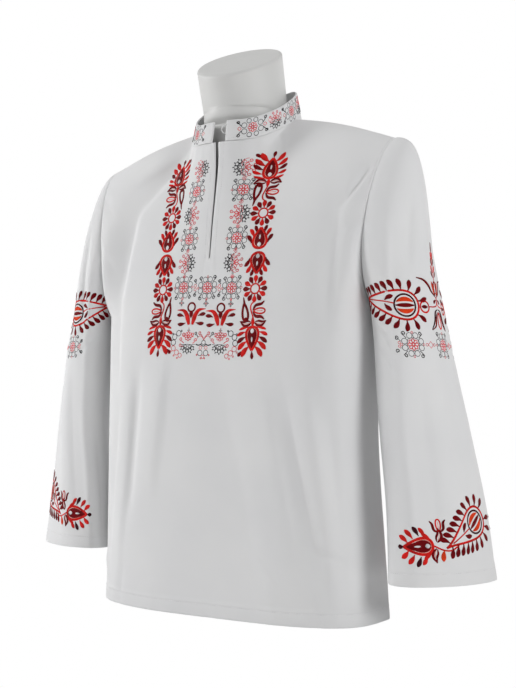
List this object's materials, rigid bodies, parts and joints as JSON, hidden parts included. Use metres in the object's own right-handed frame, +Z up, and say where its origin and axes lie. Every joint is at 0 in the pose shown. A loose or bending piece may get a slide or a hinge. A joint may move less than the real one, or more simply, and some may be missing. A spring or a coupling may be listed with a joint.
{
  "type": "embroidered folk shirt on a limbless dress form",
  "caption": "Pullover folk shirt with a stand collar, front slit, straight sleeves and embroidered panels, on a smooth limbless dress form.",
  "frame": {"origin": "the middle of the dress form's flat base, on the surface it stands on", "axes": "+Z up; the shirt's front faces -Y; the wearer's left is +X"},
  "size_m": [0.7837, 0.2502, 0.8698],
  "materials": {
    "cloth": "matte plain weave",
    "thread": "twisted cotton",
    "embroidery": "satin stitch thread",
    "form": "smooth matte shell"
  },
  "bodies": {
    "root": {"front_panel": "cloth", "back_panel": "cloth", "sleeve_left": "cloth", "sleeve_right": "cloth", "collar_band": "cloth", "thread_loop": "thread", "dress_form": "form"}
  },
  "joints": []
}
